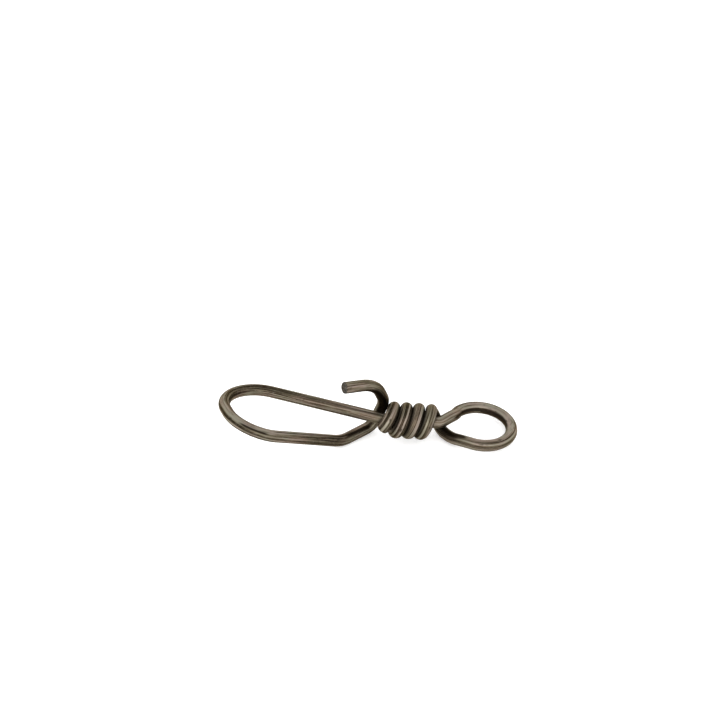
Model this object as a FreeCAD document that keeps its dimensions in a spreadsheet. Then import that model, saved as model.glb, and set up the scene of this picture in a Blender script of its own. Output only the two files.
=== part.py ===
import FreeCAD, Part
import Sketcher
import math
import os

# Fishing snap, bent from one length of spring wire. All sizes are in millimetres.
# Frame while it is being drawn: X runs along the core of the wrapped coil, from the loop
# towards the eye, Y is the side that the leg leans to, Z is the side that the tail rises on.
# The wire runs tail, hook, arm, loop, leg, core, neck, eye, crossing, coil, cut end.

Vector = FreeCAD.Vector

doc = FreeCAD.newDocument("fishing_snap")
sheet = doc.addObject("Spreadsheet::Sheet", "sizes")

SIZES = [
    ("wire_diameter", 1.0, "drawn spring wire"),
    ("coil_clearance", 0.03, "between the core and the turns wrapped round it"),
    ("turn_gap", 0.06, "between one turn and the next"),
    ("wrap_turns", 3.33, "full turns laid side by side"),
    ("run_in_turn", 160, "degrees round the core from the crossing to the first full turn"),
    ("run_in_slope", 34, "degrees that the wire slants as it crosses under the core"),
    ("run_in_bend", 50, "last part of those degrees, over which the slant flattens"),
    ("wrap_shift", 0.15, "how far the whole wrap sits towards the loop on the core"),
    ("swing_length", 0.14, "how far each turn swings along the core to either side of its middle"),
    ("lean_top", 147, "degrees round the core from the crossing to where that swing is nearest the eye"),
    ("cut_stub", 0.25, "straight end where the wire was sheared off"),
    ("neck_start", 0.88, "from the first full turn to where the neck bends off the core's line"),
    ("neck_bend", 1.0, "bend radius there"),
    ("neck_reach", 1.7, "from the first full turn to the neck's second bend"),
    ("neck_offset", 0.35, "second bend to the side of the core"),
    ("neck_lift", 0.4, "second bend above the core, over the crossing"),
    ("neck_turn", 1.4, "bend radius there"),
    ("neck_end", 2.15, "from the first full turn to where the neck starts to swing into the eye"),
    ("neck_end_offset", 1.0, "that place to the side of the core"),
    ("neck_end_lift", 0.2, "that place above the core"),
    ("eye_hole", 4.2, "inside diameter of the eye"),
    ("eye_reach", 4.4, "from the first full turn to the middle of the eye"),
    ("eye_drop", 0.12, "middle of the eye below the core"),
    ("eye_roll", 6, "degrees that the eye's near side is turned down"),
    ("eye_tip", 3, "degrees that the eye's outer end is tipped up"),
    ("eye_far_end", 124, "degrees from the eye's tip to where the neck joins it"),
    ("eye_near_end", 115, "degrees from the eye's tip to where the crossing leaves it"),
    ("leg_start", 0.35, "from the cut turn to the bend where the leg leaves the core"),
    ("leg_bend", 1.5, "bend radius there"),
    ("loop_length", 15.16, "from the cut turn to the loop's far corner"),
    ("leg_spread", 5.65, "far corner to the side of the core"),
    ("leg_fall", 0.25, "far corner below the core"),
    ("far_bend", 3.11, "bend radius of the far corner"),
    ("near_corner", 12.77, "from the cut turn to the loop's near corner"),
    ("arm_spread", 4.17, "near corner to the other side of the core"),
    ("arm_rise", 0.35, "near corner above the core"),
    ("near_bend", 2.9, "bend radius of the near corner"),
    ("arm_end", 3.75, "from the cut turn to the arm's inner bend"),
    ("arm_offset", 0.1, "arm's inner bend to the side of the core"),
    ("arm_gap", 1.355, "clear space between the arm's inner bend and the core's level"),
    ("arm_bend", 3.09, "bend radius there"),
    ("hook_low_back", 0.95, "from the cut turn to the bottom of the hook"),
    ("hook_side_gap", 0.78, "clear space between the core's line and the bottom of the hook"),
    ("hook_low_gap", 0.775, "clear space between the core's level and the bottom of the hook"),
    ("hook_low_bend", 1.0, "bend radius at the bottom of the hook"),
    ("hook_high_back", 0.47, "from the cut turn to the shoulder of the hook"),
    ("shoulder_side_gap", 0.25, "clear space between the core's line and the shoulder"),
    ("shoulder_rise", 1.04, "shoulder above the core"),
    ("shoulder_bend", 2.04, "bend radius of the shoulder"),
    ("hook_top_back", 1.64, "from the cut turn to the top of the hook"),
    ("hook_top_offset", 0.04, "top of the hook to the side of the core"),
    ("hook_top_gap", 2.36, "clear space between the core's level and the top of the hook"),
    ("hook_top_bend", 2.82, "bend radius at the top of the hook"),
    ("tail_back", 4.45, "from the cut turn to the tip of the tail"),
    ("tail_side", 1.28, "tip of the tail to the other side of the core"),
    ("tail_gap", 2.56, "clear space between the core's level and the tip of the tail"),
    ("edge_break", 0.08, "rounding of the sheared ends"),
    ("rest_tip", 8.57, "degrees that the eye end is turned down when the snap lies on a table"),
    ("rest_roll", 4.76, "degrees that the leg side is turned down then"),
]

for row, (alias, value, meaning) in enumerate(SIZES, start=1):
    sheet.set("A%d" % row, meaning)
    sheet.set("B%d" % row, str(value))
    sheet.setAlias("B%d" % row, alias)
doc.recompute()


def size(alias):
    """A size from the sheet, as a plain number."""
    return float(sheet.get(alias))


WRAP_STEP = 90
SMALL_TURN = 0.01
LEAST_STRAIGHT = 0.01

wire = size("wire_diameter")
turn_radius = wire + size("coil_clearance")
turn_pitch = wire + size("turn_gap")
coil_length = size("wrap_turns") * turn_pitch


def biarc(start, start_way, end, end_way):
    """Two tangent arcs from one point and direction to another."""
    chord = end - start
    both = start_way + end_way
    spread = 2 * (1 - start_way.dot(end_way))
    along = chord.dot(both)
    if spread < 1e-9:
        reach = chord.dot(chord) / (4 * chord.dot(end_way))
    else:
        reach = (math.sqrt(along * along + spread * chord.dot(chord)) - along) / spread
    corner_a = start + start_way * reach
    corner_b = end - end_way * reach
    joint = (corner_a + corner_b) * 0.5
    return [arc_through_corner(start, corner_a, joint), arc_through_corner(joint, corner_b, end)]


def arc_through_corner(start, corner, end):
    """The arc that is tangent to both sides of a corner, whose sides are equally long."""
    way_in = (corner - start).normalize()
    way_out = (end - corner).normalize()
    half_turn = way_in.getAngle(way_out) / 2
    if half_turn < 1e-6:
        return Part.LineSegment(start, end).toShape()
    inward = (way_out - way_in).normalize()
    side = (corner - start).Length
    middle = corner + inward * (side * (1 - math.cos(half_turn)) / math.sin(half_turn))
    return Part.Arc(start, middle, end).toShape()


def bent_run(points, radii):
    """Straight runs through the points, with a tangent arc at each inner one.

    Two bends that would run into one another are both tightened until they fit.
    """
    runs = [after - before for before, after in zip(points, points[1:])]
    turns = [way_in.getAngle(way_out) for way_in, way_out in zip(runs, runs[1:])]
    setbacks = [0.0] + [radius * math.tan(turn / 2) for radius, turn in zip(radii, turns)] + [0.0]
    for k, run in enumerate(runs):
        room = run.Length * (1 - LEAST_STRAIGHT)
        taken = setbacks[k] + setbacks[k + 1]
        if taken > room:
            setbacks[k] *= room / taken
            setbacks[k + 1] *= room / taken
    edges = []
    last = points[0]
    for k, corner in enumerate(points[1:-1], start=1):
        arc_start = corner - runs[k - 1].normalize() * setbacks[k]
        arc_end = corner + runs[k].normalize() * setbacks[k]
        edges.append(Part.LineSegment(last, arc_start).toShape())
        edges.append(arc_through_corner(arc_start, corner, arc_end))
        last = arc_end
    edges.append(Part.LineSegment(last, points[-1]).toShape())
    return edges


def base_place(turned):
    """Place along the core of the wrapped wire, at so many degrees round it from the crossing.

    Unrolled, the wire is a straight slant, an arc that flattens it, and then level turns.
    """
    steep = math.radians(size("run_in_slope"))
    flat = math.atan(turn_pitch / (2 * math.pi * turn_radius))
    arc_radius = turn_radius * math.radians(size("run_in_bend")) / (math.sin(steep) - math.sin(flat))
    slant_turn = size("run_in_turn") - size("run_in_bend")
    if turned > size("run_in_turn"):
        return coil_length - turn_pitch * (turned - size("run_in_turn")) / 360
    into_arc = turn_radius * math.radians(max(turned - slant_turn, 0))
    slope = math.asin(math.sin(steep) - into_arc / arc_radius)
    left_of_slant = turn_radius * math.radians(max(slant_turn - turned, 0))
    return coil_length + arc_radius * (math.cos(flat) - math.cos(slope)) + left_of_slant * math.tan(steep)


def on_coil(turned):
    """A point of the wrap's centre line. The turns lean: each swings towards the eye and back."""
    swing = size("swing_length") * math.cos(math.radians(turned - size("lean_top")))
    angle = math.radians(turned)
    along = base_place(turned) + swing - size("wrap_shift")
    return Vector(along, turn_radius * math.sin(angle), -turn_radius * math.cos(angle))


def coil_way(turned):
    """The direction of the wrapped wire there, towards the cut end."""
    return (on_coil(turned + SMALL_TURN) - on_coil(turned - SMALL_TURN)).normalize()


# The eye: most of a round ring, in a plane that is a little rolled and tipped.
eye = doc.addObject("Sketcher::SketchObject", "eye_ring")
eye_radius = (size("eye_hole") + wire) / 2
far_end = math.radians(size("eye_far_end"))
near_end = math.radians(size("eye_near_end"))
ring = Part.ArcOfCircle(Part.Circle(Vector(0, 0, 0), Vector(0, 0, 1), eye_radius), -near_end, far_end)
eye.addGeometry(ring, False)
eye.addConstraint(Sketcher.Constraint("Coincident", 0, 3, -1, 1))
eye.addConstraint(Sketcher.Constraint("Radius", 0, eye_radius))
eye.setExpression("Constraints[1]", "(sizes.eye_hole + sizes.wire_diameter) / 2")
eye.Placement = FreeCAD.Placement(
    Vector(coil_length + size("eye_reach"), 0, -size("eye_drop")),
    FreeCAD.Rotation(Vector(0, 1, 0), -size("eye_tip")) * FreeCAD.Rotation(Vector(1, 0, 0), size("eye_roll")),
)

# The wrap, left-handed, from the crossing under the core to the cut turn, in tangent arcs.
cut_turned = size("run_in_turn") + 360 * size("wrap_turns")
wrap_steps = math.ceil(cut_turned / WRAP_STEP)
wrap_turned = [cut_turned * step / wrap_steps for step in range(wrap_steps + 1)]
wrap_edges = []
for before, after in zip(wrap_turned, wrap_turned[1:]):
    wrap_edges += biarc(on_coil(before), coil_way(before), on_coil(after), coil_way(after))
cut_end = on_coil(cut_turned) + coil_way(cut_turned) * size("cut_stub")
doc.recompute()

# The bends from the tip of the tail to the core.
bend_points = [
    Vector(-size("tail_back"), -size("tail_side"), wire + size("tail_gap")),
    Vector(-size("hook_top_back"), size("hook_top_offset"), wire + size("hook_top_gap")),
    Vector(-size("hook_high_back"), wire + size("shoulder_side_gap"), size("shoulder_rise")),
    Vector(-size("hook_low_back"), wire + size("hook_side_gap"), -wire - size("hook_low_gap")),
    Vector(-size("arm_end"), -size("arm_offset"), -wire - size("arm_gap")),
    Vector(-size("near_corner"), -size("arm_spread"), size("arm_rise")),
    Vector(-size("loop_length"), size("leg_spread"), -size("leg_fall")),
    Vector(-size("leg_start"), 0, 0),
    Vector(coil_length + size("neck_start"), 0, 0),
    Vector(coil_length + size("neck_reach"), size("neck_offset"), size("neck_lift")),
    Vector(coil_length + size("neck_end"), size("neck_end_offset"), size("neck_end_lift")),
]
bend_radii = [size(alias) for alias in (
    "hook_top_bend", "shoulder_bend", "hook_low_bend", "arm_bend", "near_bend", "far_bend", "leg_bend",
    "neck_bend", "neck_turn",
)]
neck_end = bend_points[-1]
neck_way = (bend_points[-1] - bend_points[-2]).normalize()

ring_edge = eye.Shape.Edges[0]
turn_from_plane = eye.Placement.Rotation
ring_far = eye.Placement.multVec(Vector(eye_radius * math.cos(far_end), eye_radius * math.sin(far_end), 0))
ring_near = eye.Placement.multVec(Vector(eye_radius * math.cos(near_end), -eye_radius * math.sin(near_end), 0))
way_into_ring = turn_from_plane.multVec(Vector(math.sin(far_end), -math.cos(far_end), 0))
way_out_of_ring = turn_from_plane.multVec(Vector(-math.sin(near_end), -math.cos(near_end), 0))

edges = bent_run(bend_points, bend_radii)
edges += biarc(neck_end, neck_way, ring_far, way_into_ring)
edges.append(ring_edge)
edges += biarc(ring_near, way_out_of_ring, on_coil(0), coil_way(0))
edges += wrap_edges
edges.append(Part.LineSegment(on_coil(cut_turned), cut_end).toShape())
wire_line = doc.addObject("Part::Feature", "wire_line")
wire_line.Shape = Part.Wire(Part.sortEdges(edges)[0])

# The wire itself: its round section carried along the line, with the sheared ends' edges broken.
body = doc.addObject("PartDesign::Body", "snap_wire")
body.Label = "snap_wire"
line_in_body = body.newObject("PartDesign::SubShapeBinder", "line_in_body")
line_in_body.Relative = False
line_in_body.Support = [(wire_line, "")]
doc.recompute()
section = body.newObject("Sketcher::SketchObject", "wire_section")
section.addGeometry(Part.Circle(Vector(0, 0, 0), Vector(0, 0, 1), wire / 2), False)
section.addConstraint(Sketcher.Constraint("Coincident", 0, 3, -1, 1))
section.addConstraint(Sketcher.Constraint("Diameter", 0, wire))
section.setExpression("Constraints[1]", "sizes.wire_diameter")
section.AttachmentSupport = [(line_in_body, "Edge1")]
section.MapMode = "NormalToEdge"
section.MapPathParameter = 0
doc.recompute()

pipe = body.newObject("PartDesign::AdditivePipe", "bent_wire")
pipe.Profile = section
pipe.Spine = (line_in_body, ["Edge%d" % (k + 1) for k in range(len(line_in_body.Shape.Edges))])
pipe.Transition = "Transformed"
doc.recompute()


def sheared_rims(shape):
    """The names of the round edges of the two flat end faces."""
    flat_faces = [face for face in shape.Faces if isinstance(face.Surface, Part.Plane)]
    rims = [edge for face in flat_faces for edge in face.Edges]
    return ["Edge%d" % (k + 1) for k, edge in enumerate(shape.Edges) if any(edge.isSame(rim) for rim in rims)]


rounded_ends = body.newObject("PartDesign::Fillet", "rounded_ends")
rounded_ends.Base = (pipe, sheared_rims(pipe.Shape))
rounded_ends.setExpression("Radius", "sizes.edge_break")
body.Tip = rounded_ends
doc.recompute()

# The snap lies on its hook, the arm's inner bend and the crossing, so the drawing is turned
# onto that plane, and the origin is set at the bottom centre of the box round it.
lie = FreeCAD.Rotation(Vector(0, 1, 0), size("rest_tip")) * FreeCAD.Rotation(Vector(1, 0, 0), -size("rest_roll"))
body.Placement = FreeCAD.Placement(Vector(0, 0, 0), lie)
doc.recompute()
box = body.Shape.optimalBoundingBox(False)
rest_place = FreeCAD.Placement(Vector(-box.Center.x, -box.Center.y, -box.ZMin), lie)
body.Placement = rest_place
doc.recompute()

for item in doc.Objects:
    if "Invalid" in item.State or "Error" in item.State:
        raise RuntimeError("%s did not build: %s" % (item.Name, item.State))
if body.Shape.isNull() or not body.Shape.isValid() or len(body.Shape.Solids) != 1:
    raise RuntimeError("the wire is not one sound solid")

drawn_volume = math.pi * (wire / 2) ** 2 * wire_line.Shape.Length
print("wire length %.2f mm, volume %.3f of %.3f mm3" % (wire_line.Shape.Length, body.Shape.Volume, drawn_volume))
print("box %.3f x %.3f x %.3f mm" % (box.XLength, box.YLength, box.ZLength))

os.makedirs("parts", exist_ok=True)
body.Shape.exportStep("parts/snap_wire.step")
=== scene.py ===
import math
from collections import namedtuple

import bpy
import numpy as np
from mathutils import Matrix, Vector


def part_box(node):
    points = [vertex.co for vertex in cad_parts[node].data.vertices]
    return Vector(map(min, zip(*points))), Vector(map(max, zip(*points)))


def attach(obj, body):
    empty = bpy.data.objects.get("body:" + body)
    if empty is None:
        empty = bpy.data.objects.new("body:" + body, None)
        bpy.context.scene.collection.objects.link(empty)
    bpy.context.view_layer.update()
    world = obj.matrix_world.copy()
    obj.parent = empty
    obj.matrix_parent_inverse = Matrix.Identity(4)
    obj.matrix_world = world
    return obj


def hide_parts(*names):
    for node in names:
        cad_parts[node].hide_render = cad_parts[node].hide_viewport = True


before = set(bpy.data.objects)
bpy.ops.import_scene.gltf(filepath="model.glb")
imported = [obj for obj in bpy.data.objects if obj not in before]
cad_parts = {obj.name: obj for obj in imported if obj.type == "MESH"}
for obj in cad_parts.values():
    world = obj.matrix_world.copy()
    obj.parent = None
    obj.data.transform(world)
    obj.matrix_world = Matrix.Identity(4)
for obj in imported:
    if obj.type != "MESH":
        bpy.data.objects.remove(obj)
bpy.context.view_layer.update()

# Fishing snap: one length of spring wire, bent and then wrapped round its own core.
# Its sizes are in millimetres and its turns in degrees. X runs along the core of the wrap
# towards the eye, Y is the side that the leg leans to, Z is the side that the tail rises on.
MM = 0.001
WIRE = 1.0
HALF_WIRE = WIRE / 2
COIL_CLEARANCE = 0.03  # between the core and the turns wrapped round it
TURN_GAP = 0.06  # between one turn and the next
WRAP_TURNS = 3.33  # full turns laid side by side
WRAP_SHIFT = 0.15  # how far the whole wrap sits towards the loop on the core
SWING = 0.14  # how far each turn swings along the core to either side of its middle
LEAN_TOP = 147  # round the core from the crossing to where that swing is nearest the eye
RUN_IN_TURN = 160  # round the core from the crossing to the first full turn
RUN_IN_SLOPE = 34  # slant of the wire as it crosses under the core
RUN_IN_BEND = 50  # last part of the run-in, over which the slant flattens
CUT_STUB = 0.25  # straight end where the wire was sheared off
CUT_SPRUNG = 0.32  # how far the cut end has sprung towards the loop
CUT_SPRUNG_TURN = 130  # last part of the wrap, over which it springs
EYE_HOLE = 4.2  # inside diameter of the eye
EYE_REACH = 4.4  # from the first full turn to the middle of the eye
EYE_DROP = 0.12  # middle of the eye below the core
EYE_ROLL = 6  # how far the eye's near side is turned down
EYE_TIP = 3  # how far the eye's outer end is tipped up
EYE_FAR_END = 124  # round the eye from its tip to where the neck joins it
EYE_NEAR_END = 115  # round the eye from its tip to where the crossing leaves it
REST_TIP = 8.57  # how far the eye end is turned down when the snap lies on a table
REST_ROLL = 4.76  # how far the leg side is turned down then

TURN_RADIUS = WIRE + COIL_CLEARANCE
TURN_PITCH = WIRE + TURN_GAP
COIL_LENGTH = WRAP_TURNS * TURN_PITCH
CUT_TURNED = RUN_IN_TURN + 360 * WRAP_TURNS

# The places where the wire is bent, with the radius of each bend. The shoulder of the hook
# is 0.08 nearer to the wrap than the solid's, so that no light shows between them.
TAIL_TIP = (-4.45, -1.28, WIRE + 2.56)
HOOK_TOP = (-1.64, 0.04, WIRE + 2.36)
SHOULDER = (-0.39, WIRE + 0.25, 1.04)
HOOK_LOW = (-0.95, WIRE + 0.78, -WIRE - 0.775)
ARM_END = (-3.75, -0.1, -WIRE - 1.355)
NEAR_CORNER = (-12.77, -4.17, 0.35)
FAR_CORNER = (-15.16, 5.65, -0.25)
LEG_START = (-0.35, 0.0, 0.0)
NECK_START = (COIL_LENGTH + 0.88, 0.0, 0.0)
NECK_OVER = (COIL_LENGTH + 1.7, 0.35, 0.4)
NECK_END = (COIL_LENGTH + 2.15, 1.0, 0.2)
BENDS = [
    (HOOK_TOP, 2.82),
    (SHOULDER, 2.04),
    (HOOK_LOW, 1.0),
    (ARM_END, 3.09),
    (NEAR_CORNER, 2.9),
    (FAR_CORNER, 3.11),
    (LEG_START, 1.5),
    (NECK_START, 1.0),
    (NECK_OVER, 1.4),
]

# How finely the tube is made.
LINE_STEP = 0.02  # between points of a bent line
LEAST_RUN_STEPS = 2
LEAST_ARC_STEPS = 4
LEAST_STEP = 1e-7  # points closer than this are one place
LEAST_CORNER = 1e-6  # half a corner's turn, in radians, below which it is a straight run
WRAP_STEP = 45  # most that one pair of arcs goes round the core
SMALL_TURN = 0.01  # to each side of a place on the wrap, to find the direction there
RING_STEP = 0.08  # between rings of the tube
RING_SIDES = 48

# The wrapped turns are thicker than the solid's, so that they touch as the real ones do.
SNUG = 0.025  # more on their radius
SNUG_PART = 0.90  # part of the wrapped wire that is thicker, counted from the cut end
SNUG_EASE = 0.8  # length over which it thickens

# The sheared ends: a rounded rim, and a dished face that the wire's own rings keep clear of.
RIM = 0.08
RIM_RINGS = 5
RIM_CLEAR = RIM * 1.2  # from the end to the wire's own rings
TORN_DEPTH = RIM * 0.6  # how far back on the rim the torn face goes
FACE_DISH = 0.035  # how deep the middle of the face is
FACE_RINGS = [(0.03, 0.28), (0.045, 0.52), (0.02, 0.72)]  # depth, and share of the radius

# A surface is darkened with painted shade where the wire passes this near to another stretch of itself.
CREVICE_SHUT = 0.10
CREVICE_OPEN = 0.42
SAME_STRETCH = 1.7  # along the wire, nearer than which it is the same stretch
FAR_OFF = 9.0  # stands for no other stretch near by
POINTS_AT_ONCE = 4000  # surface points that are compared at a time
LINE_THINNED = 2  # they are compared with every second point of the line

# Marks on the wire: stains, wear and drawing lines, with painted shade on the hook's inner side and under the
# neck, and a painted reflection along the top of the eye's near strand. Each is from and to along the wire
# from the tail's tip, the side of the wire, the half width round the wire, and how strong.
DARK_MARKS_AND_SHADE = [
    # painted shade on the hook's inner side, next to the wrap
    (3.2, 6.6, 46, 52, 1.3),
    (8.0, 11.0, 76, 15, 1.0),
    (9.5, 18.5, 89, 7, 0.8),
    (20.0, 21.1, 48, 12, 1.0),
    (30.0, 41.0, 128, 7, 0.8),
    (33.0, 39.5, -148, 10, 0.9),
    (47.5, 50.5, -176, 24, 1.1),
    (51.3, 54.6, -168, 32, 1.2),
    (57.9, 59.2, 84, 14, 0.7),
    # painted shadow of the neck on the eye's near strand
    (60.8, 63.4, 100, 28, 1.2),
]
# Light marks: light streaks and spots, and one painted reflection.
LIGHT_MARKS_AND_HIGHLIGHT = [
    (0.3, 2.8, -42, 26, 0.8),
    (9.2, 9.9, 76, 6, 0.7),
    (13.0, 19.0, 110, 16, 0.5),
    (22.0, 22.5, 60, 12, 0.6),
    (51.0, 54.0, 145, 9, 0.6),
    # painted reflection along the top of the eye's near strand
    (54.5, 61.0, 112, 24, 0.9),
]
MARK_FADE = 0.7  # along the wire, beyond a mark's ends

# The patterns of the wire's surface: how many waves there are in a millimetre along the wire
# and across it, how many finer waves lie on them, how strong those are, and how twisted.
# They are endless, and the wire starts at one place of them.
PATTERN_START = (160.0, 5.5, 17.0)
PATTERNS = {
    "drawn": (0.025, 3.2, 2.0, 0.6, 0.0),
    "streaks": (0.12, 4.4, 3.0, 0.6, 0.0),
    "lines": (0.35, 9.0, 3.0, 0.65, 0.0),
    "scratch_edges": (0.04, 2.4, 1.0, 0.4, 0.0),
    "scratch_breaks": (0.22, 1.5, 2.0, 0.5, 0.0),
    "hue": (0.6, 1.6, 2.0, 0.5, 0.0),
    "stains": (0.7, 1.8, 4.0, 0.6, 0.5),
    "spots": (1.8, 4.5, 2.0, 0.5, 0.0),
    "grain": (5.0, 10.0, 3.0, 0.6, 0.0),
}
PATTERN_MIDDLE = 0.5  # they go from 0 to 1

# How light the drawn surface is: shares of three patterns, less a scratch, more a light mark, one of which is
# a painted reflection.
TONE_SHARES = {"drawn": 0.36, "streaks": 0.42, "lines": 0.22}
SCRATCH_HALF_WIDTH = (0.008, 0.035)  # of the pattern, where it is full and where it has ended
SCRATCH_BREAKS = (0.44, 0.58)
SCRATCH_DARKER = 0.055
MARK_AND_HIGHLIGHT_LIGHTER = 0.06

# Its colour at each lightness, and a green to brown cast over that.
DRAWN_COLOURS = [
    (0.440, (0.013, 0.009, 0.005, 1)),
    (0.476, (0.050, 0.038, 0.024, 1)),
    (0.512, (0.119, 0.098, 0.070, 1)),
    (0.565, (0.208, 0.184, 0.150, 1)),
]
CASTS = [(0.40, (0.96, 1.01, 0.96, 1)), (0.60, (1.08, 0.99, 1.02, 1))]

# What lies on it: the pattern, where it starts and is full, how much it covers, its colour.
COVERS = [
    ("stains", 0.54, 0.66, 0.5, (0.052, 0.042, 0.026, 1)),
    ("spots", 0.66, 0.74, 0.75, (0.014, 0.011, 0.007, 1)),
    ("grain", 0.50, 0.75, 0.4, (0.165, 0.146, 0.122, 1)),
]

# Black scale and painted shade in the dark marks, with a ragged border, and painted shade where the wire lies
# close to itself.
SCALE_AND_SHADE_RAGGED = 1.4
SCALE_AND_SHADE_BAND = (0.32, 0.75)
SCALE_AND_SHADE_COVER = 0.96
SCALE_AND_SHADE_COLOUR = (0.012, 0.008, 0.005, 1)
CREVICE_SHADE_COVER = 0.9
CREVICE_SHADE_COLOUR = (0.008, 0.006, 0.004, 1)

# Its gloss and relief. A pattern's roughness runs between two values over this band of it.
EDGE_TINT = (0.62, 0.57, 0.50, 1)  # of what is seen at a grazing angle
ROUGH_BAND = (0.3, 0.7)
STAIN_ROUGHNESS = (0.36, 0.48)
LINE_ROUGHNESS = (-0.03, 0.06)
CREVICE_ROUGHNESS = 0.45
HEIGHT_SHARES = {"streaks": 0.7, "lines": 0.3, "grain": 0.07}
RELIEF_STRENGTH = 0.85
RELIEF_HEIGHT = 0.00006  # in metres

# The torn faces of the sheared ends.
TEAR_WAVES = (4.0, 3.0, 14.0)  # in a millimetre, along the wire and to its two sides
TEAR_DETAIL = 3.0
TEAR_DETAIL_STRENGTH = 0.6
TEAR_RELIEF_STRENGTH = 0.7
TEAR_RELIEF_HEIGHT = 0.00004  # in metres
TORN_ROUGHNESS = 0.5
TORN_COLOURS = [
    (0.35, (0.018, 0.014, 0.010, 1)),
    (0.52, (0.052, 0.044, 0.034, 1)),
    (0.70, (0.130, 0.113, 0.090, 1)),
]

# The room, in metres: its brightness from level to overhead, the floor and the softbox.
SKY_STRENGTH = 1.97
SKY = [
    (0.00, (1.0, 1.0, 1.0, 1)),
    (0.30, (0.92, 0.92, 0.92, 1)),
    (0.70, (0.76, 0.76, 0.76, 1)),
    (1.00, (0.66, 0.66, 0.66, 1)),
]
FLOOR_HALF = 1.5
FLOOR_COLOUR = (0.9, 0.9, 0.9, 1)
FLOOR_ROUGHNESS = 0.9
FLOOR_GLOSS = 0.1
FLOOR_GLOW = 0.3
SOFTBOX_PLACE = (-0.05, -0.54, 0.29)
SOFTBOX_WIDTH = 0.70
SOFTBOX_HEIGHT = 0.42
SOFTBOX_POWER = 1.6

# The photograph's view: a long close-up lens, placed round the point that it looks at.
SENSOR_WIDTH = 36
LENS = 98.525
CAMERA_AZIMUTH = -5.639
CAMERA_ELEVATION = 35.484
CAMERA_ROLL = -0.035
CAMERA_DISTANCE = 0.165
CAMERA_AIM = (-0.000518, 0.002546, 0.006483)
CAMERA_NEAREST = 0.01

Ring = namedtuple("Ring", "centre way side share place torn")

# The inputs of a colour mix, by number, because its two colours share their names with others.
MIX_SHARE = 0
MIX_FIRST = 6
MIX_SECOND = 7


def unit(v):
    return v / np.linalg.norm(v)


def turn_between(a, b):
    """The angle between two directions, in radians."""
    return math.acos(max(-1.0, min(1.0, float(np.dot(a, b)))))


def straight(start, end):
    """Points of a straight run."""
    count = max(LEAST_RUN_STEPS, int(np.linalg.norm(end - start) / LINE_STEP))
    return [start + (end - start) * k / count for k in range(count + 1)]


def corner_arc(start, corner, end):
    """Points of the arc that is tangent to both equal sides of a corner."""
    way_in = unit(corner - start)
    way_out = unit(end - corner)
    half = turn_between(way_in, way_out) / 2
    if half < LEAST_CORNER:
        return straight(start, end)
    radius = np.linalg.norm(corner - start) / math.tan(half)
    centre = corner + unit(way_out - way_in) * radius / math.cos(half)
    outward = (start - centre) / radius
    count = max(LEAST_ARC_STEPS, int(2 * half * radius / LINE_STEP))
    angles = [2 * half * k / count for k in range(count + 1)]
    return [centre + radius * (math.cos(t) * outward + math.sin(t) * way_in) for t in angles]


def biarc(start, start_way, end, end_way):
    """Two tangent arcs from one place and direction to another."""
    chord = end - start
    spread = 2 * (1 - np.dot(start_way, end_way))
    along = np.dot(chord, start_way + end_way)
    reach = (math.sqrt(along * along + spread * np.dot(chord, chord)) - along) / spread
    corner_a = start + start_way * reach
    corner_b = end - end_way * reach
    joint = (corner_a + corner_b) / 2
    return corner_arc(start, corner_a, joint) + corner_arc(joint, corner_b, end)


def bent_run(start, bends, end):
    """Straight runs through the bends, with a tangent arc at each."""
    corners = [np.array(start)] + [np.array(place) for place, _ in bends] + [np.array(end)]
    radii = [radius for _, radius in bends]
    line = []
    last = corners[0]
    for before, corner, after, radius in zip(corners, corners[1:], corners[2:], radii):
        way_in = unit(corner - before)
        way_out = unit(after - corner)
        setback = radius * math.tan(turn_between(way_in, way_out) / 2)
        line += straight(last, corner - way_in * setback)
        line += corner_arc(corner - way_in * setback, corner, corner + way_out * setback)
        last = corner + way_out * setback
    return line + straight(last, corners[-1])


def rotation(axis, degrees):
    return np.array(Matrix.Rotation(math.radians(degrees), 3, axis))


def base_place(turned):
    """Place along the core of the wrapped wire: a slant, an arc that flattens it, level turns."""
    steep = math.radians(RUN_IN_SLOPE)
    flat = math.atan(TURN_PITCH / (2 * math.pi * TURN_RADIUS))
    arc_radius = TURN_RADIUS * math.radians(RUN_IN_BEND) / (math.sin(steep) - math.sin(flat))
    slant_turn = RUN_IN_TURN - RUN_IN_BEND
    if turned > RUN_IN_TURN:
        return COIL_LENGTH - TURN_PITCH * (turned - RUN_IN_TURN) / 360
    into_arc = TURN_RADIUS * math.radians(max(turned - slant_turn, 0))
    slope = math.asin(math.sin(steep) - into_arc / arc_radius)
    left_of_slant = TURN_RADIUS * math.radians(max(slant_turn - turned, 0))
    return COIL_LENGTH + arc_radius * (math.cos(flat) - math.cos(slope)) + left_of_slant * math.tan(steep)


def on_coil(turned):
    """A point of the wrap's centre line, at so many degrees round the core from underneath."""
    swing = SWING * math.cos(math.radians(turned - LEAN_TOP))
    angle = math.radians(turned)
    sprung = CUT_SPRUNG * max(0.0, 1 - (CUT_TURNED - turned) / CUT_SPRUNG_TURN) ** 2
    along = base_place(turned) + swing - WRAP_SHIFT - sprung
    return np.array([along, TURN_RADIUS * math.sin(angle), -TURN_RADIUS * math.cos(angle)])


def coil_way(turned):
    """The direction of the wrap's centre line there, towards the cut end."""
    return unit(on_coil(turned + SMALL_TURN) - on_coil(turned - SMALL_TURN))


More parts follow.
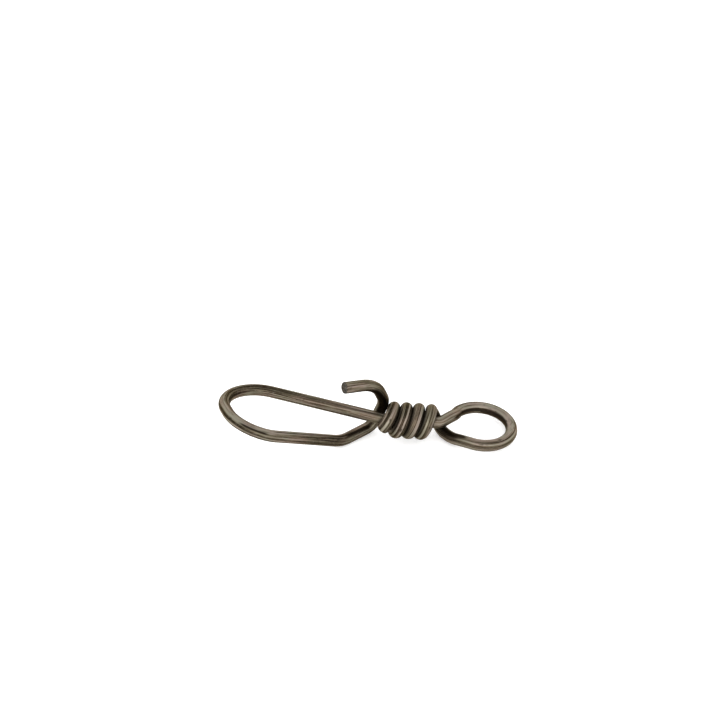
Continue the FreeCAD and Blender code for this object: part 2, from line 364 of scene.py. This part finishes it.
def wire_line():
    """The wire's centre line from the tip of the tail to the cut end, as it was bent."""
    line = bent_run(TAIL_TIP, BENDS, NECK_END)
    neck_way = unit(np.array(NECK_END) - np.array(NECK_OVER))

    plane = rotation("Y", -EYE_TIP) @ rotation("X", EYE_ROLL)
    middle = np.array([COIL_LENGTH + EYE_REACH, 0.0, -EYE_DROP])
    radius = (EYE_HOLE + WIRE) / 2
    far, near = math.radians(EYE_FAR_END), -math.radians(EYE_NEAR_END)
    count = int((far - near) * radius / LINE_STEP)
    angles = [far + (near - far) * k / count for k in range(count + 1)]
    ring = [middle + plane @ np.array([radius * math.cos(a), radius * math.sin(a), 0.0]) for a in angles]
    into_ring = plane @ np.array([math.sin(far), -math.cos(far), 0.0])
    out_of_ring = plane @ np.array([math.sin(near), -math.cos(near), 0.0])

    line += biarc(np.array(NECK_END), neck_way, ring[0], into_ring)
    line += ring
    line += biarc(ring[-1], out_of_ring, on_coil(0), coil_way(0))
    steps = math.ceil(CUT_TURNED / WRAP_STEP)
    turns = [CUT_TURNED * k / steps for k in range(steps + 1)]
    for a, b in zip(turns, turns[1:]):
        line += biarc(on_coil(a), coil_way(a), on_coil(b), coil_way(b))
    line += straight(on_coil(CUT_TURNED), on_coil(CUT_TURNED) + coil_way(CUT_TURNED) * CUT_STUB)
    return np.array(line)


def evenly(line, step):
    """The same line with points at even steps, and how far along each is."""
    lengths = np.linalg.norm(np.diff(line, axis=0), axis=1)
    keep = np.concatenate([[True], lengths > LEAST_STEP])
    line = line[keep]
    along = np.concatenate([[0.0], np.cumsum(np.linalg.norm(np.diff(line, axis=0), axis=1))])
    places = np.linspace(0, along[-1], int(along[-1] / step) + 1)
    return np.stack([np.interp(places, along, line[:, k]) for k in range(3)], axis=1), places


def carried_frames(points):
    """At each point the direction of the line, and a side that turns with it and doesn't twist."""
    ways = np.gradient(points, axis=0)
    ways /= np.linalg.norm(ways, axis=1, keepdims=True)
    side = unit(np.cross(ways[0], [0.0, 0.0, 1.0]))
    sides = []
    for way in ways:
        side = unit(side - way * np.dot(side, way))
        sides.append(side)
    return ways, np.array(sides)


def end_rings():
    """Rings of a sheared end, from near the face's middle outwards: depth, share of the radius."""
    angles = [math.pi / 2 * k / RIM_RINGS for k in range(RIM_RINGS + 1)]
    rim = [(RIM * (1 - math.cos(a)), 1 - RIM / HALF_WIRE * (1 - math.sin(a))) for a in angles]
    return FACE_RINGS + rim


def wire_rings(points, places):
    """The tube's rings from the tail's face to the cut end's.

    A ring has its centre, the wire's direction and side there, its share of the wire's radius,
    its place along the wire, and whether it lies on a torn face.
    """
    ways, sides = carried_frames(points)
    total = places[-1]
    wrap_length = math.radians(CUT_TURNED) * TURN_RADIUS
    snug = SNUG / HALF_WIRE * np.clip((places - (total - wrap_length * SNUG_PART)) / SNUG_EASE, 0, 1)

    first = [
        Ring(points[0] + ways[0] * depth, ways[0], sides[0], share, depth, depth < TORN_DEPTH)
        for depth, share in end_rings()
    ]
    middle = [
        Ring(points[k], ways[k], sides[k], 1.0 + snug[k], places[k], False)
        for k in range(len(points))
        if RIM_CLEAR < places[k] < total - RIM_CLEAR
    ]
    last = [
        Ring(points[-1] - ways[-1] * depth, ways[-1], sides[-1], share, total - depth, depth < TORN_DEPTH)
        for depth, share in reversed(end_rings())
    ]
    return first + middle + last


def tube_points(rings, tip, cut, total):
    """Points of the tube's surface, and the same points on the wire before it was bent."""
    bent = []
    straightened = []
    for ring in rings:
        other = np.cross(ring.way, ring.side)
        for j in range(RING_SIDES):
            a = 2 * math.pi * j / RING_SIDES
            out = math.cos(a) * ring.side + math.sin(a) * other
            bent.append(ring.centre + out * HALF_WIRE * ring.share)
            straightened.append((
                ring.place,
                HALF_WIRE * ring.share * math.cos(a),
                HALF_WIRE * ring.share * math.sin(a),
            ))
    bent += [tip + rings[0].way * FACE_DISH, cut - rings[-1].way * FACE_DISH]
    straightened += [(FACE_DISH, 0.0, 0.0), (total - FACE_DISH, 0.0, 0.0)]
    return np.array(bent), np.array(straightened)


def tube_faces(rings):
    """Faces of the tube: each one's points, how far round its corners are, if it is torn."""
    faces = []
    across = []
    torn = []
    first_middle = len(rings) * RING_SIDES
    last_middle = first_middle + 1
    last_ring = first_middle - RING_SIDES
    for j in range(RING_SIDES):
        n = (j + 1) % RING_SIDES
        here, there = j / RING_SIDES, (j + 1) / RING_SIDES
        faces += [(first_middle, n, j), (last_middle, last_ring + j, last_ring + n)]
        across += [(here + there) / 2, there, here, (here + there) / 2, here, there]
        torn += [True, True]
    for k, (ring, next_ring) in enumerate(zip(rings, rings[1:])):
        a, b = k * RING_SIDES, (k + 1) * RING_SIDES
        for j in range(RING_SIDES):
            n = (j + 1) % RING_SIDES
            here, there = j / RING_SIDES, (j + 1) / RING_SIDES
            faces.append((a + j, a + n, b + n, b + j))
            across += [here, there, there, here]
            torn.append(ring.torn and next_ring.torn)
    return faces, across, torn


def lay_down(bent):
    """The points in metres, turned as the snap lies on a table, at the solid's place."""
    points = bent @ (rotation("Y", REST_TIP) @ rotation("X", -REST_ROLL)).T
    low, high = points.min(axis=0), points.max(axis=0)
    points -= [(low[0] + high[0]) / 2, (low[1] + high[1]) / 2, low[2]]
    cad_low, cad_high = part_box("snap_wire")
    return points * MM + [(cad_low[0] + cad_high[0]) / 2, (cad_low[1] + cad_high[1]) / 2, cad_low[2]]


def closeness(surface, surface_places, line, line_places):
    """How near each surface point is to another stretch of the wire: 1 where it almost touches."""
    nearest = np.full(len(surface), FAR_OFF)
    for start in range(0, len(surface), POINTS_AT_ONCE):
        part = slice(start, start + POINTS_AT_ONCE)
        gaps = np.linalg.norm(surface[part, None, :] - line[None, :, :], axis=2)
        same = np.abs(surface_places[part, None] - line_places[None, :]) < SAME_STRETCH
        nearest[part] = np.where(same, FAR_OFF, gaps).min(axis=1)
    return np.clip((CREVICE_OPEN - (nearest - HALF_WIRE)) / (CREVICE_OPEN - CREVICE_SHUT), 0, 1)


def marked(straightened, marks):
    """How strongly each surface point lies in one of the marks, fading out at their borders."""
    along = straightened[:, 0]
    side = np.degrees(np.arctan2(straightened[:, 2], straightened[:, 1]))
    strongest = np.zeros(len(straightened))
    for start, end, degrees, half_width, strength in marks:
        beyond = np.maximum(np.maximum(start - along, along - end), 0)
        round_to = (side - degrees + 180) % 360 - 180
        share = strength * np.exp(-(round_to / half_width) ** 2 - (beyond / MARK_FADE) ** 2)
        strongest = np.maximum(strongest, share)
    return strongest


def build_wire():
    """The whole wire as one closed tube, with what its materials need to know of each point."""
    points, places = evenly(wire_line(), RING_STEP)
    total = places[-1]
    rings = wire_rings(points, places)
    bent, straightened = tube_points(rings, points[0], points[-1], total)
    faces, across, torn = tube_faces(rings)
    # For each point: painted shade where the wire lies close to itself, dark marks with painted shade, light
    # marks with a painted reflection.
    shares = {
        "crevice_shade": closeness(bent, straightened[:, 0], points[::LINE_THINNED], places[::LINE_THINNED]),
        "dark_marks_and_shade": marked(straightened, DARK_MARKS_AND_SHADE),
        "light_marks_and_highlight": marked(straightened, LIGHT_MARKS_AND_HIGHLIGHT),
    }

    mesh = bpy.data.meshes.new("snap_wire_fine")
    mesh.from_pydata([tuple(v) for v in lay_down(bent)], [], faces)
    straight_data = mesh.attributes.new("straightened", "FLOAT_VECTOR", "POINT")
    straight_data.data.foreach_set("vector", straightened.astype(np.float32).ravel())
    for name, values in shares.items():
        mesh.attributes.new(name, "FLOAT", "POINT").data.foreach_set("value", values.astype(np.float32))
    corners = np.zeros(len(mesh.loops), dtype=np.int32)
    mesh.loops.foreach_get("vertex_index", corners)
    uv = np.stack([straightened[corners, 0] / total, np.array(across)], axis=1)
    mesh.uv_layers.new(name="UVMap").data.foreach_set("uv", uv.astype(np.float32).ravel())
    for polygon in mesh.polygons:
        polygon.use_smooth = True
        polygon.material_index = int(torn[polygon.index])
    piece = bpy.data.objects.new("snap_wire_fine", mesh)
    bpy.context.collection.objects.link(piece)
    return piece


class Nodes:
    """Small helper that adds and links shader nodes."""

    def __init__(self, tree):
        self.tree = tree
        tree.nodes.clear()

    def add(self, kind, inputs=None, **settings):
        node = self.tree.nodes.new(kind)
        for name, value in settings.items():
            setattr(node, name, value)
        for name, value in (inputs or {}).items():
            self.fill(node.inputs[name], value)
        return node

    def fill(self, socket, value):
        if isinstance(value, bpy.types.NodeSocket):
            self.tree.links.new(value, socket)
        else:
            socket.default_value = value

    def attribute(self, name, output):
        return self.add("ShaderNodeAttribute", attribute_name=name).outputs[output]

    def vector(self, operation, a, b):
        return self.add("ShaderNodeVectorMath", {0: a, 1: b}, operation=operation).outputs[0]

    def math(self, operation, a, b=0.0):
        return self.add("ShaderNodeMath", {0: a, 1: b}, operation=operation).outputs[0]

    def shared(self, values, shares):
        """The sum of some of the values, each times its share."""
        parts = [self.math("MULTIPLY", values[name], share) for name, share in shares.items()]
        total = parts[0]
        for part in parts[1:]:
            total = self.math("ADD", total, part)
        return total

    def noise(self, source, waves, detail, roughness, distortion=0.0):
        node = self.add("ShaderNodeTexNoise", {
            "Vector": self.vector("MULTIPLY", source, waves),
            "Scale": 1.0,
            "Detail": detail,
            "Roughness": roughness,
            "Distortion": distortion,
        })
        return node.outputs["Fac"]

    def ramp(self, source, stops):
        node = self.add("ShaderNodeValToRGB", {"Fac": source})
        ramp = node.color_ramp
        while len(ramp.elements) > 1:
            ramp.elements.remove(ramp.elements[-1])
        ramp.elements[0].position = stops[0][0]
        ramp.elements[0].color = stops[0][1]
        for place, colour in stops[1:]:
            ramp.elements.new(place).color = colour
        return node.outputs["Color"]

    def band(self, source, low, high, to_low=0.0, to_high=1.0):
        node = self.add("ShaderNodeMapRange", {
            "Value": source,
            "From Min": low,
            "From Max": high,
            "To Min": to_low,
            "To Max": to_high,
        })
        return node.outputs["Result"]

    def mix(self, share, a, b, blend="MIX"):
        node = self.add("ShaderNodeMix", data_type="RGBA", blend_type=blend)
        for index, value in ((MIX_SHARE, share), (MIX_FIRST, a), (MIX_SECOND, b)):
            self.fill(node.inputs[index], value)
        return node.outputs[2]

    def surface(self, inputs):
        shader = self.add("ShaderNodeBsdfPrincipled", inputs)
        self.add("ShaderNodeOutputMaterial", {"Surface": shader.outputs["BSDF"]})


def new_material(name):
    material = bpy.data.materials.new(name)
    material.use_nodes = True
    return material, Nodes(material.node_tree)


def spring_wire():
    """Dark satin spring wire, drawn lengthwise, with stains, scale, scratches, marks of wear, painted shade
    and a painted reflection.
    """
    material, n = new_material("spring_wire")
    place = n.vector("ADD", n.attribute("straightened", "Vector"), PATTERN_START)
    pattern = {
        name: n.noise(place, (along, across, across), detail, roughness, distortion)
        for name, (along, across, detail, roughness, distortion) in PATTERNS.items()
    }
    dark = n.attribute("dark_marks_and_shade", "Fac")
    light = n.attribute("light_marks_and_highlight", "Fac")
    crevice_shade_share = n.attribute("crevice_shade", "Fac")

    from_edge = n.math("ABSOLUTE", n.math("SUBTRACT", pattern["scratch_edges"], PATTERN_MIDDLE))
    unbroken = n.band(from_edge, *SCRATCH_HALF_WIDTH, 1.0, 0.0)
    scratch = n.math("MULTIPLY", unbroken, n.band(pattern["scratch_breaks"], *SCRATCH_BREAKS))
    tone = n.shared(pattern, TONE_SHARES)
    tone = n.math("SUBTRACT", tone, n.math("MULTIPLY", scratch, SCRATCH_DARKER))
    # Light marks lighten the tone, among them a painted reflection on the eye's near strand.
    tone = n.math("ADD", tone, n.math("MULTIPLY", light, MARK_AND_HIGHLIGHT_LIGHTER))

    colour = n.ramp(tone, DRAWN_COLOURS)
    colour = n.mix(1.0, colour, n.ramp(pattern["hue"], CASTS), blend="MULTIPLY")
    for name, start, full, cover, over in COVERS:
        colour = n.mix(n.band(pattern[name], start, full, 0.0, cover), colour, over)
    off_middle = n.math("SUBTRACT", pattern["streaks"], PATTERN_MIDDLE)
    # Dark marks: black scale, and painted shade where the hook and the neck shade the wire.
    ragged = n.math("ADD", dark, n.math("MULTIPLY", off_middle, SCALE_AND_SHADE_RAGGED))
    colour = n.mix(n.band(ragged, *SCALE_AND_SHADE_BAND, 0.0, SCALE_AND_SHADE_COVER), colour, SCALE_AND_SHADE_COLOUR)
    # Painted shade, near black, where the wire lies close to another stretch of itself.
    colour = n.mix(n.math("MULTIPLY", crevice_shade_share, CREVICE_SHADE_COVER), colour, CREVICE_SHADE_COLOUR)

    rough = n.math(
        "ADD",
        n.band(pattern["stains"], *ROUGH_BAND, *STAIN_ROUGHNESS),
        n.band(pattern["lines"], *ROUGH_BAND, *LINE_ROUGHNESS),
    )
    rough = n.math("ADD", rough, n.math("MULTIPLY", crevice_shade_share, CREVICE_ROUGHNESS))
    height = n.shared(pattern, HEIGHT_SHARES)
    bump = n.add("ShaderNodeBump", {"Strength": RELIEF_STRENGTH, "Distance": RELIEF_HEIGHT, "Height": height})
    n.surface({
        "Base Color": colour,
        "Metallic": 1.0,
        "Roughness": rough,
        "Specular Tint": EDGE_TINT,
        "Normal": bump.outputs["Normal"],
    })
    return material


def sheared_steel():
    """The torn dark grey face where the wire was cut."""
    material, n = new_material("sheared_steel")
    place = n.attribute("straightened", "Vector")
    tear = n.noise(place, TEAR_WAVES, TEAR_DETAIL, TEAR_DETAIL_STRENGTH)
    bump = n.add("ShaderNodeBump", {
        "Strength": TEAR_RELIEF_STRENGTH,
        "Distance": TEAR_RELIEF_HEIGHT,
        "Height": tear,
    })
    n.surface({
        "Base Color": n.ramp(tear, TORN_COLOURS),
        "Metallic": 1.0,
        "Roughness": TORN_ROUGHNESS,
        "Normal": bump.outputs["Normal"],
    })
    return material


def pale_floor():
    """A matt white floor that glows faintly, so that its shadows stay light."""
    material, n = new_material("pale_floor")
    n.surface({
        "Base Color": FLOOR_COLOUR,
        "Roughness": FLOOR_ROUGHNESS,
        "Specular IOR Level": FLOOR_GLOSS,
        "Emission Color": (1, 1, 1, 1),
        "Emission Strength": FLOOR_GLOW,
    })
    return material


def flat_panel(name, half):
    """A level square round the middle of the table."""
    mesh = bpy.data.meshes.new(name)
    corners = [(-half, -half, 0), (half, -half, 0), (half, half, 0), (-half, half, 0)]
    mesh.from_pydata(corners, [], [(0, 1, 2, 3)])
    piece = bpy.data.objects.new(name, mesh)
    bpy.context.collection.objects.link(piece)
    return piece


def softbox(name, place, width, height, power):
    """A rectangular light that faces the snap."""
    light = bpy.data.lights.new(name, "AREA")
    light.shape = "RECTANGLE"
    light.size = width
    light.size_y = height
    light.energy = power
    piece = bpy.data.objects.new(name, light)
    piece.location = place
    piece.rotation_mode = "QUATERNION"
    piece.rotation_quaternion = (-Vector(place)).to_track_quat("-Z", "Y")
    bpy.context.collection.objects.link(piece)


def studio():
    """A pale room, darker overhead, with one large softbox in front above the camera."""
    world = bpy.data.worlds.new("studio")
    world.use_nodes = True
    n = Nodes(world.node_tree)
    way = n.add("ShaderNodeTexCoord").outputs["Generated"]
    parts = n.add("ShaderNodeSeparateXYZ", {"Vector": way})
    sky = n.ramp(n.band(parts.outputs["Z"], 0.0, 1.0), SKY)
    background = n.add("ShaderNodeBackground", {"Color": sky, "Strength": SKY_STRENGTH})
    n.add("ShaderNodeOutputWorld", {"Surface": background.outputs["Background"]})
    bpy.context.scene.world = world

    floor = flat_panel("floor", FLOOR_HALF)
    floor.data.materials.append(pale_floor())
    softbox("front_softbox", SOFTBOX_PLACE, SOFTBOX_WIDTH, SOFTBOX_HEIGHT, SOFTBOX_POWER)


def camera():
    """At the photograph's place, looking down at the snap."""
    data = bpy.data.cameras.new("camera")
    data.sensor_width = SENSOR_WIDTH
    data.lens = LENS
    data.clip_start = CAMERA_NEAREST
    piece = bpy.data.objects.new("camera", data)
    azimuth, elevation = math.radians(CAMERA_AZIMUTH), math.radians(CAMERA_ELEVATION)
    back = Vector((
        math.sin(azimuth) * math.cos(elevation),
        -math.cos(azimuth) * math.cos(elevation),
        math.sin(elevation),
    ))
    piece.location = Vector(CAMERA_AIM) + back * CAMERA_DISTANCE
    piece.rotation_mode = "QUATERNION"
    level = (-back).to_track_quat("-Z", "Y")
    piece.rotation_quaternion = Matrix.Rotation(math.radians(CAMERA_ROLL), 3, back).to_quaternion() @ level
    bpy.context.collection.objects.link(piece)
    bpy.context.scene.camera = piece


wire = build_wire()
wire.data.materials.append(spring_wire())
wire.data.materials.append(sheared_steel())
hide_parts("snap_wire")
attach(wire, "root")
studio()
camera()
bpy.context.scene.view_settings.view_transform = "Standard"
